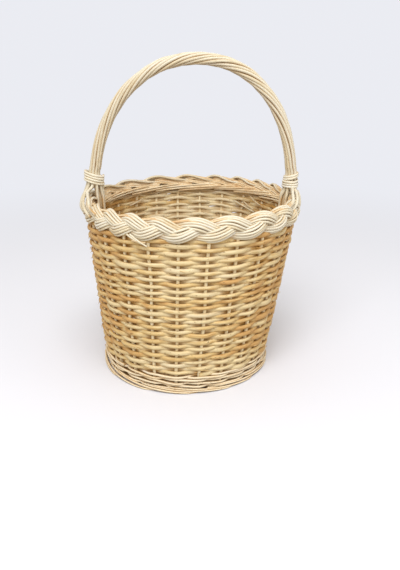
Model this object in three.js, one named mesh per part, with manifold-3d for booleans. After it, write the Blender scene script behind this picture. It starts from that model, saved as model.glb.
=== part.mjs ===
// A round straw basket: a woven base, a wall of rods woven round upright stakes,
// a plaited border and one arched handle of twisted rods.
// Millimetres, +Z up. The origin is on the floor, under the middle of the outline.

import * as THREE from 'three';
import { mergeVertices } from 'three/addons/utils/BufferGeometryUtils.js';
import Module from 'manifold-3d';

const wasm = await Module();
wasm.setup();

// Driving dimensions: the body
const stakeCount = 24;
const stakeDiameter = 4.0;
const footStakeRadius = 122.8;
const wallSlope = 0.1185;
const wallTop = 230.5;
const leanPerHeight = 0.045;
const fitClearance = 0.45;

// Driving dimensions: the woven wall
const weaverDiameter = 4.6;
const weaverSquareness = 0.55;
const courseGap = 0.24;
const joinGap = 0.4;
const rodsPerWeaver = 6;
const firstStakeAngle = 9.5;

// Driving dimensions: the wale at the foot of the wall
const waleRodCount = 3;
const waleRodDiameter = 3.4;
const waleCourses = 5;
const waleGap = 0.35;

// Driving dimensions: the foot border and the base
const footHeight = 7.6;
const footOverhang = 4.4;
const footLedge = 4.0;
const footRounding = 3.2;
const baseThickness = 12.0;
const sticksEachWay = 3;
const stickWidth = 5.8;
const stickGap = 0.4;
const piercedStickHeight = 7.0;
const threadedStickHeight = 3.0;
const stickBendRoom = 3.0;
const baseFan = 30.0;
const baseOverrun = 5.0;
const baseSegments = 36;
const footSegments = 48;

// Driving dimensions: the plaited border
const plaitStrands = 3;
const plaitPeriods = 8;
const plaitOverhang = 2.85;
const plaitHeight = 35.0;
const plaitThickness = 16.0;
const strandWidth = 10.2;
const strandThickness = 5.2;
const strandFlat = 0.68;
const plaitLift = 0.45;
const stepsPerPeriod = 8;

// Driving dimensions: the handle
const handleRodDiameter = 4.4;
const handleCoreDiameter = 9.4;
const handleInset = 8.5;
const handleSpringHeight = 300.0;
const handleRise = 150.0;
const handleTurns = 2;
const lashingLift = 8.55;
const lashingWraps = 5;
const lashingRodDiameter = 3.2;
const lashingPitch = 3.7;
const bundleRadius = 9.2;
const bundleAngles = [25, 75, 131, -25, -75, -131];
const lashingClearance = 0.7;
const tuckDepth = 45.0;
const bayNestle = 1.5;
const coreInset = 3.5;
const coreShoulderShare = 0.45;
const fanSpread = 1.8;
const rodEntry = 3.0;
const tipTuck = 0.8;
const rodTipShare = 0.42;
const shoulderShare = 0.42;
const innerTuckShare = 0.8;
const archPoints = 12;
const handleSteps = 50;
const stepsPerWrap = 16;

// Colours and finishes
const honeyRod = new THREE.MeshStandardMaterial({ color: 0xcfa871, roughness: 0.72, metalness: 0 });
const strawRod = new THREE.MeshStandardMaterial({ color: 0xdcc194, roughness: 0.7, metalness: 0 });
const paleStake = new THREE.MeshStandardMaterial({ color: 0xdfcba3, roughness: 0.7, metalness: 0 });
const creamPlait = new THREE.MeshStandardMaterial({ color: 0xe8d8b4, roughness: 0.62, metalness: 0 });
const handleRod = new THREE.MeshStandardMaterial({ color: 0xdfca9f, roughness: 0.6, metalness: 0 });
const baseRod = new THREE.MeshStandardMaterial({ color: 0xd3bd97, roughness: 0.75, metalness: 0 });

const turn = Math.PI * 2;
const up = new THREE.Vector3(0, 0, 1);
const front = new THREE.Vector3(0, -1, 0);
const degrees = Math.PI / 180;
const stakeStep = turn / stakeCount;
const wallOffset = stakeDiameter / 2 + weaverDiameter / 2 + fitClearance;
const waleOffset = stakeDiameter / 2 + waleRodDiameter / 2 + fitClearance;
const stakeFoot = footHeight + fitClearance;
const walePitch = waleRodDiameter * weaverSquareness * 2 + waleGap;
const wallBottom = stakeFoot + waleCourses * walePitch;
const leastCoursePitch = weaverDiameter * weaverSquareness * 2 + courseGap;
const weaverTurns = Math.floor((wallTop - wallBottom) / leastCoursePitch / 2);
const coursePitch = (wallTop - wallBottom) / (weaverTurns * 2);
const baseRadius = footStakeRadius - waleOffset - waleRodDiameter / 2 - fitClearance;
const stickPitch = stickWidth + stickGap;
const crossingHalfWidth = (stickPitch * sticksEachWay) / 2;
const baseHoleRadius = crossingHalfWidth * Math.SQRT2 + stickGap;
const plaitRadius = stakeRadius(wallTop) + plaitOverhang;
const plaitCentreHeight = wallTop + plaitLift + plaitHeight / 2;
const handleHalfSpan = plaitRadius - handleInset;
const lashingHeight = plaitCentreHeight + plaitHeight / 2 + lashingLift;

// The radius of the circle of stakes at a height
function stakeRadius(height) {
  return footStakeRadius + wallSlope * (height - stakeFoot);
}

// A point from its angle (0 is the front), radius and height
function around(angle, radius, height) {
  return new THREE.Vector3(radius * Math.sin(angle), -radius * Math.cos(angle), height);
}

// One closed skin over rings of points: each ring has as many points as the next
function skinOver(rings, closed) {
  const sides = rings[0].length;
  const positions = rings.flat().flatMap((p) => [p.x, p.y, p.z]);
  const faces = [];
  const spans = closed ? rings.length : rings.length - 1;
  for (let i = 0; i < spans; i++) {
    const near = i * sides;
    const far = ((i + 1) % rings.length) * sides;
    for (let j = 0; j < sides; j++) {
      const next = (j + 1) % sides;
      faces.push(near + j, near + next, far + next);
      faces.push(near + j, far + next, far + j);
    }
  }
  if (!closed) {
    const last = (rings.length - 1) * sides;
    for (let j = 1; j < sides - 1; j++) {
      faces.push(0, j + 1, j);
      faces.push(last, last + j, last + j + 1);
    }
  }
  const skin = new THREE.BufferGeometry();
  skin.setAttribute('position', new THREE.Float32BufferAttribute(positions, 3));
  skin.setIndex(faces);
  return facingOut(skin);
}

// Faces turned outwards: a skin whose signed volume is below zero has its faces reversed
function facingOut(skin) {
  const { position } = skin.attributes;
  const { index } = skin;
  const corner = (i) => new THREE.Vector3().fromBufferAttribute(position, index.getX(i));
  let volume = 0;
  for (let i = 0; i < index.count; i += 3) {
    volume += corner(i).dot(corner(i + 1).cross(corner(i + 2)));
  }
  if (volume < 0) index.array.reverse();
  return skin;
}

// The section of a rod as a ring of points in the plane of two directions
function sectionRing(centre, across, upward, halfAcross, halfUpward, sides) {
  const ring = [];
  for (let j = 0; j < sides; j++) {
    const angle = (turn * j) / sides;
    const point = centre.clone();
    point.addScaledVector(across, halfAcross * Math.cos(angle));
    point.addScaledVector(upward, halfUpward * Math.sin(angle));
    ring.push(point);
  }
  return ring;
}

// A tube of round section along a smooth curve through points
function rodThrough(points, diameter, steps, sides) {
  const outline = new THREE.Shape();
  for (let j = 0; j < sides; j++) {
    const angle = (turn * j) / sides;
    const x = (diameter / 2) * Math.cos(angle);
    const y = (diameter / 2) * Math.sin(angle);
    if (j === 0) outline.moveTo(x, y);
    else outline.lineTo(x, y);
  }
  outline.closePath();
  const extrudePath = new THREE.CatmullRomCurve3(points, false, 'centripetal');
  return new THREE.ExtrudeGeometry(outline, { steps, extrudePath, bevelEnabled: false });
}

// Solids for cutting
function asSolid(geometry) {
  const bare = geometry.clone();
  for (const name of Object.keys(bare.attributes)) {
    if (name !== 'position') bare.deleteAttribute(name);
  }
  const merged = mergeVertices(bare, 1e-4);
  const mesh = new wasm.Mesh({
    numProp: 3,
    vertProperties: new Float32Array(merged.attributes.position.array),
    triVerts: new Uint32Array(merged.index.array),
  });
  return new wasm.Manifold(mesh);
}

function asGeometry(solid) {
  const mesh = solid.getMesh();
  const geometry = new THREE.BufferGeometry();
  geometry.setAttribute('position', new THREE.BufferAttribute(new Float32Array(mesh.vertProperties), 3));
  geometry.setIndex(new THREE.BufferAttribute(new Uint32Array(mesh.triVerts), 1));
  return geometry;
}

function cutAll(geometry, cutters) {
  let solid = asSolid(geometry);
  for (const cutter of cutters) solid = solid.subtract(asSolid(cutter));
  return asGeometry(solid);
}

// A hand-made basket leans a little: every height is slid sideways by its share
function leaned(geometry) {
  const position = geometry.attributes.position;
  for (let i = 0; i < position.count; i++) {
    position.setX(i, position.getX(i) + leanPerHeight * position.getZ(i));
  }
  geometry.computeVertexNormals();
  return geometry;
}

const basket = new THREE.Group();

function addPiece(name, geometry, material) {
  const mesh = new THREE.Mesh(leaned(geometry), material);
  mesh.name = name;
  basket.add(mesh);
}

// A rod woven round the stakes: at each stake it lies outside or inside.
// Its own count of stakes starts at the stake where its weaver starts.
function wovenRod({ startStake, from, to, bottom, risePerTurn, diameter, offset, isOutside }) {
  const rings = [];
  const halfHeight = diameter * weaverSquareness;
  const halfDepth = diameter / 2;
  const endInset = joinGap / 2 / (stakeRadius(bottom) * stakeStep);
  for (let k = from; k <= to; k++) {
    const inset = (k === from ? endInset : 0) - (k === to ? endInset : 0);
    const angle = firstStakeAngle * degrees + (startStake + k + inset) * stakeStep;
    const height = bottom + (risePerTurn * k) / stakeCount;
    const side = isOutside(startStake + k) ? 1 : -1;
    const centre = around(angle, stakeRadius(height) + side * offset, height);
    rings.push(sectionRing(centre, around(angle, 1, 0), up, halfDepth, halfHeight, 4));
  }
  return skinOver(rings, false);
}

// Stakes: the uprights, from the foot border to the plait
function makeStakes() {
  for (let k = 0; k < stakeCount; k++) {
    const angle = firstStakeAngle * degrees + k * stakeStep;
    const rings = [stakeFoot, wallTop].map((height) => {
      const centre = around(angle, stakeRadius(height), height);
      const sideways = around(angle + turn / 4, 1, 0);
      return sectionRing(centre, sideways, around(angle, 1, 0), stakeDiameter / 2, stakeDiameter / 2, 6);
    });
    addPiece(`stake_${String(k + 1).padStart(2, '0')}`, skinOver(rings, false), paleStake);
  }
}

// Wall: two weavers climb together, one outside the even stakes and one outside the odd.
// Each is a run of rods that meet behind a stake.
function makeWall() {
  const stakesPassed = weaverTurns * stakeCount - stakeCount / 2;
  ['a', 'b'].forEach((letter, w) => {
    const startStake = (w * stakeCount) / 2;
    const isOutside = (k) => (k + w) % 2 === 0;
    const joinAt = (r) => {
      const even = 2 * Math.round((stakesPassed * r) / rodsPerWeaver / 2);
      return r === 0 || r === rodsPerWeaver ? even : even + 1 - w;
    };
    for (let r = 0; r < rodsPerWeaver; r++) {
      addPiece(`weaver_${letter}_${r + 1}`, wovenRod({
        startStake,
        from: joinAt(r),
        to: joinAt(r + 1),
        bottom: wallBottom + coursePitch / 2,
        risePerTurn: coursePitch * 2,
        diameter: weaverDiameter,
        offset: wallOffset,
        isOutside,
      }), r % 2 === 0 ? honeyRod : strawRod);
    }
  });
}

// Wale: three thin rods side by side, each outside two stakes and inside the third
function makeWale() {
  const stakesPassed = Math.round(((waleCourses - 1) / waleRodCount) * stakeCount);
  for (let r = 0; r < waleRodCount; r++) {
    addPiece(`wale_rod_${r + 1}`, wovenRod({
      startStake: (r * stakeCount) / waleRodCount,
      from: 0,
      to: stakesPassed,
      bottom: stakeFoot + walePitch / 2,
      risePerTurn: walePitch * waleRodCount,
      diameter: waleRodDiameter,
      offset: waleOffset,
      isOutside: (k) => (k + r) % waleRodCount !== 0,
    }), strawRod);
  }
}

// Foot border: the ring that the basket stands on, flat underneath
function makeFootBorder() {
  const outer = footStakeRadius + wallOffset + footOverhang;
  const inner = baseRadius - footLedge;
  const bevel = footRounding / 2;
  const profile = [
    [inner + bevel, 0],
    [outer - footRounding, 0],
    [outer - bevel / 2, bevel],
    [outer, footHeight / 2],
    [outer - bevel, footHeight],
    [inner + bevel, footHeight],
    [inner, footHeight / 2],
    [inner + bevel, 0],
  ].map(([x, y]) => new THREE.Vector2(x, y));
  const ring = new THREE.LatheGeometry(profile, footSegments);
  ring.rotateX(turn / 4);
  addPiece('foot_border', asGeometry(asSolid(ring)), baseRod);
}

// A base stick: straight over the crossing, then bent out to its place round the edge
function stickPoints(place, along) {
  const fan = place * baseFan * degrees;
  const bend = crossingHalfWidth + stickBendRoom;
  const end = new THREE.Vector2(baseRadius * Math.cos(fan), baseRadius * Math.sin(fan));
  const side = place * stickPitch;
  const plan = [[-end.x, end.y], [-bend, side], [bend, side], [end.x, end.y]];
  return plan.map(([x, y]) => (along === 'x' ? new THREE.Vector3(x, y, 0) : new THREE.Vector3(-y, x, 0)));
}

// A flat bar along a stick's line, grown by a clearance where it is a cutter
function stickBar(place, along, height, growth, overrun) {
  const points = stickPoints(place, along);
  const middle = new THREE.Vector3(0, 0, footHeight + fitClearance + baseThickness / 2);
  const rings = points.map((p, i) => {
    const before = points[Math.max(i - 1, 0)];
    const after = points[Math.min(i + 1, points.length - 1)];
    const forward = after.clone().sub(before).normalize();
    const aside = new THREE.Vector3().crossVectors(up, forward);
    const isEnd = i === 0 || i === points.length - 1;
    const centre = p.clone().add(middle);
    if (isEnd) centre.addScaledVector(forward, i === 0 ? -overrun : overrun);
    const halfWidth = stickWidth / 2 + growth;
    const halfHeight = height / 2 + growth;
    return [[-1, -1], [1, -1], [1, 1], [-1, 1]].map(([a, b]) => centre.clone()
      .addScaledVector(aside, -a * halfWidth)
      .addScaledVector(up, b * halfHeight));
  });
  return skinOver(rings, false);
}

// Base: three sticks are threaded through slots in three others, and all their ends
// run out through the round weave like spokes
function makeBase() {
  const places = Array.from({ length: sticksEachWay }, (_, i) => i - (sticksEachWay - 1) / 2);
  const threaded = places.map((place) => stickBar(place, 'y', threadedStickHeight, 0, 0));
  const slots = places.map((place) => stickBar(place, 'y', threadedStickHeight, stickGap, 0));
  places.forEach((place, i) => {
    const bar = stickBar(place, 'x', piercedStickHeight, 0, 0);
    addPiece(`base_stick_pierced_${i + 1}`, cutAll(bar, slots), paleStake);
    addPiece(`base_stick_threaded_${i + 1}`, threaded[i], paleStake);
  });

  const bottom = footHeight + fitClearance;
  const topEdge = bottom + baseThickness;
  const profile = [
    [baseHoleRadius, bottom],
    [baseRadius, bottom],
    [baseRadius, topEdge],
    [baseHoleRadius, topEdge],
    [baseHoleRadius, bottom],
  ].map(([x, y]) => new THREE.Vector2(x, y));
  const disc = new THREE.LatheGeometry(profile, baseSegments);
  disc.rotateX(turn / 4);
  const tunnels = places.flatMap((place) => [
    stickBar(place, 'x', piercedStickHeight, stickGap, baseOverrun),
    stickBar(place, 'y', threadedStickHeight, stickGap, baseOverrun),
  ]);
  addPiece('base_weave', cutAll(disc, tunnels), baseRod);
}

// Border: three flat strands plaited into a ring. Each goes up and down once a period
// and in and out twice.
function makePlait() {
  const steps = plaitPeriods * stepsPerPeriod;
  const swing = (plaitHeight - strandWidth) / 2;
  const depth = (plaitThickness - strandThickness) / 2;
  const nudge = 0.001;
  const place = (t, phase) => {
    const wave = plaitPeriods * t + phase;
    return around(t, plaitRadius - depth * Math.sin(2 * wave), plaitCentreHeight + swing * Math.sin(wave));
  };
  for (let s = 0; s < plaitStrands; s++) {
    const phase = (turn * s) / plaitStrands;
    const rings = [];
    for (let i = 0; i < steps; i++) {
      const t = (turn * i) / steps;
      const forward = place(t + nudge, phase).sub(place(t - nudge, phase)).normalize();
      const across = new THREE.Vector3().crossVectors(around(t, 1, 0), forward).normalize();
      const outward = new THREE.Vector3().crossVectors(forward, across).normalize();
      rings.push(ribbonRing(place(t, phase), across, outward));
    }
    addPiece(`plait_strand_${s + 1}`, skinOver(rings, true), creamPlait);
  }
}

// The section of a strand: flat on both faces, with a blunt point at each edge
function ribbonRing(centre, across, outward) {
  const corners = [[1, 0], [strandFlat, 1], [-strandFlat, 1], [-1, 0], [-strandFlat, -1], [strandFlat, -1]];
  return corners.map(([a, b]) => centre.clone()
    .addScaledVector(across, (a * strandWidth) / 2)
    .addScaledVector(outward, (b * strandThickness) / 2));
}

// The handle's line: an arch over the basket in the plane of its two feet
function archPoint(angle) {
  const x = -handleHalfSpan * Math.cos(angle);
  return new THREE.Vector3(x, 0, handleSpringHeight + handleRise * Math.sin(angle));
}

// Handle core: a stout bow whose ends are pushed down inside the wall
function makeHandleCore() {
  const room = handleCoreDiameter / 2 + fitClearance;
  const inside = (height) => stakeRadius(height) - wallOffset - weaverDiameter / 2 - room + bayNestle;
  const besidePlait = plaitRadius - plaitThickness / 2 - room;
  const footPoints = [
    [inside(wallTop - tuckDepth), wallTop - tuckDepth],
    [inside(wallTop), wallTop],
    [besidePlait, plaitCentreHeight],
    [besidePlait, plaitCentreHeight + plaitHeight * coreShoulderShare],
    [handleHalfSpan - coreInset, lashingHeight + lashingPitch * 2],
  ];
  const arch = [];
  for (let i = 0; i <= archPoints; i++) arch.push(archPoint((Math.PI * i) / archPoints));
  const points = [
    ...footPoints.map(([x, z]) => new THREE.Vector3(-x, 0, z)),
    ...arch,
    ...footPoints.map(([x, z]) => new THREE.Vector3(x, 0, z)).reverse(),
  ];
  addPiece('handle_core', rodThrough(points, handleCoreDiameter, handleSteps, 6), handleRod);
}

// Handle rods: they wind round the core over the arch, are gathered by the lashings,
// and fan out below them, four outside the border and two inside it
function makeHandleRods() {
  const room = handleRodDiameter / 2 + fitClearance;
  const wallInside = (height) => stakeRadius(height) - wallOffset - weaverDiameter / 2 - room;
  const rimOutside = plaitRadius + plaitThickness / 2 + room;
  const rimInside = plaitRadius - plaitThickness / 2 - room;
  const woundRadius = (handleCoreDiameter + handleRodDiameter) / 2 + fitClearance;
  const lashTop = lashingHeight + lashingPitch * lashingWraps;

  // One foot: points from the tip up to the lashing, as distance out and place aside
  const footPoints = (out, aside) => {
    const fan = aside * fanSpread;
    const outer = [
      [rimOutside - tipTuck, fan, plaitCentreHeight - plaitHeight * rodTipShare],
      [rimOutside, fan, plaitCentreHeight],
      [rimOutside, fan, plaitCentreHeight + plaitHeight * shoulderShare],
    ];
    const innerTip = wallTop - tuckDepth * innerTuckShare;
    const inner = [
      [wallInside(innerTip), aside, innerTip],
      [wallInside(wallTop), aside, wallTop],
      [rimInside, aside, plaitCentreHeight],
      [rimInside, aside, plaitCentreHeight + plaitHeight * rodTipShare],
    ];
    const bound = [
      [handleHalfSpan + out, aside, lashingHeight - rodEntry],
      [handleHalfSpan + out, aside, lashTop],
    ];
    return [...(out > -coreInset ? outer : inner), ...bound];
  };

  for (let r = 0; r < bundleAngles.length; r++) {
    const gathered = bundleAngles[r] * degrees;
    const out = bundleRadius * Math.cos(gathered);
    const aside = bundleRadius * Math.sin(gathered);
    const windEnd = gathered - turn * handleTurns;
    const wound = [];
    for (let i = 1; i < archPoints * 2; i++) {
      const share = i / (archPoints * 2);
      const angle = Math.PI * share;
      const eased = share * share * (3 - 2 * share);
      const wind = gathered + (windEnd - gathered) * eased;
      const outward = new THREE.Vector3(-Math.cos(angle) * handleRise, 0, Math.sin(angle) * handleHalfSpan);
      outward.normalize();
      const point = archPoint(angle);
      point.addScaledVector(outward, woundRadius * Math.cos(wind));
      point.addScaledVector(front, woundRadius * Math.sin(wind));
      wound.push(point);
    }
    const points = [
      ...footPoints(out, aside).map(([x, y, z]) => new THREE.Vector3(-x, -y, z)),
      ...wound,
      ...footPoints(out, aside).map(([x, y, z]) => new THREE.Vector3(x, -y, z)).reverse(),
    ];
    addPiece(`handle_rod_${r + 1}`, rodThrough(points, handleRodDiameter, handleSteps, 5), handleRod);
  }
}

// Lashings: a thin rod wound round each foot of the handle, one unbroken tube
function makeLashings() {
  const clear = bundleRadius + (handleRodDiameter + lashingRodDiameter) / 2 + lashingClearance;
  const radius = clear / Math.cos(Math.PI / stepsPerWrap);
  const turns = { left: lashingWraps - 1, right: lashingWraps };
  for (const [side, wraps] of Object.entries(turns)) {
    const sign = side === 'left' ? -1 : 1;
    const place = (t) => new THREE.Vector3(
      sign * handleHalfSpan + radius * Math.cos(t),
      radius * Math.sin(t),
      lashingHeight + lashingRodDiameter / 2 + (lashingPitch * t) / turn,
    );
    const rings = [];
    const steps = wraps * stepsPerWrap;
    for (let i = 0; i <= steps; i++) {
      const t = (turn * i) / stepsPerWrap;
      const outward = new THREE.Vector3(Math.cos(t), Math.sin(t), 0);
      rings.push(sectionRing(place(t), outward, up, lashingRodDiameter / 2, lashingRodDiameter / 2, 6));
    }
    let least = Infinity;
    for (let i = 0; i <= steps - stepsPerWrap; i++) {
      for (let j = i + stepsPerWrap / 2; j <= steps; j++) {
        const apart = place((turn * i) / stepsPerWrap).distanceTo(place((turn * j) / stepsPerWrap));
        least = Math.min(least, apart - lashingRodDiameter);
      }
    }
    console.log(`lashing_${side}: least gap to itself ${least.toFixed(2)} mm`);
    addPiece(`lashing_${side}`, skinOver(rings, false), creamPlait);
  }
}

makeStakes();
makeWall();
makeWale();
makeFootBorder();
makeBase();
makePlait();
makeHandleCore();
makeHandleRods();
makeLashings();

// The origin goes under the middle of the outline
const outline = new THREE.Box3().setFromObject(basket);
const middle = outline.getCenter(new THREE.Vector3());
basket.position.set(-middle.x, -middle.y, -outline.min.z);

export default basket;
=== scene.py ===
# %% [markdown]
# # A straw basket, rod by rod
#
# The basket is woven from peeled rods: twenty-four upright stakes, two weavers that climb
# the wall round them, a wale and a border at the foot, a plaited border at the rim, and an
# arched handle. A picture of weaving on a plain shell would fall flat at the edges, so
# every rod is a real tube. One function sweeps a section along a path, and each cell below
# only says where its rods run.

import bpy
import numpy as np
from mathutils import Euler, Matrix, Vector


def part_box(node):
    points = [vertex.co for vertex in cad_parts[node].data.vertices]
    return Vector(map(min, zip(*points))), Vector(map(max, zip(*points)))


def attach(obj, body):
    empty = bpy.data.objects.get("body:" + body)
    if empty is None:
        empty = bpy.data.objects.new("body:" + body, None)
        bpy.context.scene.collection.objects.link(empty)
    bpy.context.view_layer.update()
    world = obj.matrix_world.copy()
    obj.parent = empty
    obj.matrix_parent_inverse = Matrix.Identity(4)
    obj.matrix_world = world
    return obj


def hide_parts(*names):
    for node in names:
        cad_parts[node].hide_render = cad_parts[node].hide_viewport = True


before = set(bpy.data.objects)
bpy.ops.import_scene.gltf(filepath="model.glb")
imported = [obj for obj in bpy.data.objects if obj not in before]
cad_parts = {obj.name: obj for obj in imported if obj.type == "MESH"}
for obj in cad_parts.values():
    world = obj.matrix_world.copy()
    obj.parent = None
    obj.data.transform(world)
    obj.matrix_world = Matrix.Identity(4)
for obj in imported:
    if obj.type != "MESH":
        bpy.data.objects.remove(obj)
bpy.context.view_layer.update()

# %% [markdown]
# Lengths are in millimetres and become metres when a mesh is made. The frame's foot border,
# plait and handle say where the foot, the rim and the arch are. The basket leans a little,
# as hand-made ones do: everything is worked out upright, and `place` slides each height
# sideways by its share.

# %% The main sizes
MM = 0.001
TURN = 2 * np.pi
STAKES = 24
STAKE_STEP = TURN / STAKES


def box_of(*nodes):
    """Lowest and highest corner of some nodes together, in millimetres."""
    corners = np.array([[list(c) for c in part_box(node)] for node in nodes]) / MM
    return corners[:, 0].min(axis=0), corners[:, 1].max(axis=0)


foot_low, foot_high = box_of("foot_border")
rim_low, rim_high = box_of("plait_strand_1", "plait_strand_2", "plait_strand_3")
_, arch_high = box_of("handle_core")
foot_x = (foot_low[0] + foot_high[0]) / 2
rim_x = (rim_low[0] + rim_high[0]) / 2
rim_middle = (rim_low[2] + rim_high[2]) / 2
lean = (rim_x - foot_x) / rim_middle
foot_radius = (foot_high[1] - foot_low[1]) / 2
rim_radius = (rim_high[1] - rim_low[1]) / 2
print(f"foot radius {foot_radius:.1f}, rim radius {rim_radius:.1f}, lean {lean:.4f}")


def place(angle, radius, height):
    """Points at an angle round the basket (0 at the front, growing to the right), a radius
    and a height: x = radius * sin(angle), y = -radius * cos(angle), then the lean."""
    angle, radius, height = np.broadcast_arrays(angle, radius, height)
    x = radius * np.sin(angle) + foot_x + lean * height
    return np.stack([x, -radius * np.cos(angle), height], axis=-1)


def outward_at(angle):
    """The level direction that points away from the axis at an angle."""
    angle = np.asarray(angle, dtype=float)
    return np.stack([np.sin(angle), -np.cos(angle), np.zeros_like(angle)], axis=-1)


# %% [markdown]
# The camera stands where a person stood who looked slightly down on the basket. It is made
# first, so that every later step can be judged in the same frame.

# %% The camera
SENSOR = 36.0
IMAGE_HEIGHT = 570
FOCAL_PIXELS = 595.0
camera_data = bpy.data.cameras.new("camera")
camera_data.sensor_width = SENSOR
camera_data.lens = FOCAL_PIXELS * SENSOR / IMAGE_HEIGHT
camera = bpy.data.objects.new("camera", camera_data)
bpy.context.scene.collection.objects.link(camera)
camera.location = (0.0116, -0.8705, 0.4508)
CAMERA_PITCH = np.radians(20.9)
camera.rotation_euler = Euler((np.pi / 2 - CAMERA_PITCH, 0, 0))
bpy.context.scene.camera = camera
print(f"camera: {camera_data.lens:.1f} mm lens, {camera.location.z:.2f} m above the floor")

# %% [markdown]
# The light is plain and soft: an even pale sky, and a large lamp above the front that lights
# the tops of the rods more than their undersides, with a weaker one over the opening and one
# at the right. The sky and the floor come at the end of the script.

# %% Lamps
scene = bpy.context.scene
scene.view_settings.view_transform = "Standard"


def add_lamp(name, location, target, size, power):
    """A square lamp that looks at a point."""
    data = bpy.data.lights.new(name, "AREA")
    data.shape = "SQUARE"
    data.size = size
    data.energy = power
    lamp = bpy.data.objects.new(name, data)
    lamp.location = location
    direction = np.array(target) - np.array(location)
    yaw = np.arctan2(-direction[0], direction[1])
    drop = np.arctan2(np.hypot(direction[0], direction[1]), -direction[2])
    lamp.rotation_euler = (drop, 0, yaw)
    scene.collection.objects.link(lamp)


add_lamp("key_lamp", (-0.45, -1.6, 1.8), (0, 0, 0.2), 1.2, 25)
add_lamp("top_lamp", (0.1, -0.7, 1.7), (0, 0.1, 0.2), 0.6, 8.5)
add_lamp("side_lamp", (1.8, -0.9, 0.7), (0, 0, 0.15), 1.4, 6)
print("lamps:", [lamp.name for lamp in bpy.data.lights])

# %% [markdown]
# A material is a graph of nodes. Written as plain arithmetic it reads like a formula, so
# one small class wraps a socket: `+`, `-` and `*` on it add Math nodes, and `node` adds any
# other kind.


# %% Shader arithmetic
class Value:
    """One output socket of a material's node tree, with arithmetic."""

    def __init__(self, tree, socket=None):
        self.tree = tree
        self.socket = socket

    def node(self, kind, settings=None, output=0, **inputs):
        """Adds a node, sets its settings first, then links or sets its inputs."""
        made = self.tree.nodes.new(kind)
        for key, setting in (settings or {}).items():
            setattr(made, key, setting)
        for key, value in inputs.items():
            socket = made.inputs[int(key[1:])] if key[0] == "_" else made.inputs[key]
            self.feed(socket, value)
        return Value(self.tree, made.outputs[output] if made.outputs else None)

    def feed(self, socket, value):
        """Links a Value to a socket, or sets the socket's own number or colour."""
        if isinstance(value, Value):
            self.tree.links.new(value.socket, socket)
        elif isinstance(value, tuple) and len(value) == 3 and socket.type == "RGBA":
            socket.default_value = (*value, 1)
        else:
            socket.default_value = value

    def math(self, operation, *others):
        """A Math node whose inputs are this socket and the others."""
        inputs = {f"_{i}": value for i, value in enumerate((self, *others))}
        return self.node("ShaderNodeMath", {"operation": operation}, **inputs)

    def __add__(self, other):
        return self.math("ADD", other)

    __radd__ = __add__

    def __mul__(self, other):
        return self.math("MULTIPLY", other)

    __rmul__ = __mul__

    def __sub__(self, other):
        return self.math("SUBTRACT", other)

    def __rsub__(self, other):
        return (self * -1) + other

    def smooth(self, low, high):
        """0 below low, 1 above high, with a smooth step between."""
        settings = {"interpolation_type": "SMOOTHSTEP"}
        return self.node("ShaderNodeMapRange", settings, _0=self, _1=low, _2=high)

    def mix(self, first, second):
        """A colour between first and second; self is the share of the second."""
        settings = {"data_type": "RGBA"}
        return self.node("ShaderNodeMix", settings, output=2, _0=self, _6=first, _7=second)


def empty_tree(owner):
    """The node tree of a material or of the world, emptied and wrapped."""
    owner.use_nodes = True
    owner.node_tree.nodes.clear()
    return Value(owner.node_tree)


# %% [markdown]
# A peeled rod is pale wood with fine grain along it, slow changes of colour from cream to
# honey, darker scars where twigs grew, and a soft sheen. The grain has to follow each rod,
# so the pattern can't sit in object space. Every mesh carries `rod_place`: two numbers that
# run round the rod and one that runs along it, in millimetres. Stretching a noise along the
# third makes streaks. `rod_tone` shifts each rod's colour, and on the wall it also carries
# painted shade and painted light. A third attribute mixes in a golden brown. On most rods it
# is painted shade in the creases between rods, under crossings and inside the wall. On a
# strip of bark and on some splinters it is their own colour. The core wood, deep inside the
# foot, is painted dark all over, as the shade in the gaps of the foot.

# %% The peeled rod material
BLEACHING = (1.03, 1.08, 1.24)
STREAK_SHADE = (0.7, 0.62, 0.5)
SCAR_BROWN = (0.20, 0.10, 0.035)
# Golden brown of painted shade in creases and recesses; also the own colour of bark and of some
# splinters.
PAINTED_SHADE_AND_STAIN_GOLD = (0.50, 0.275, 0.075)
SHEEN = 0.22


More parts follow.
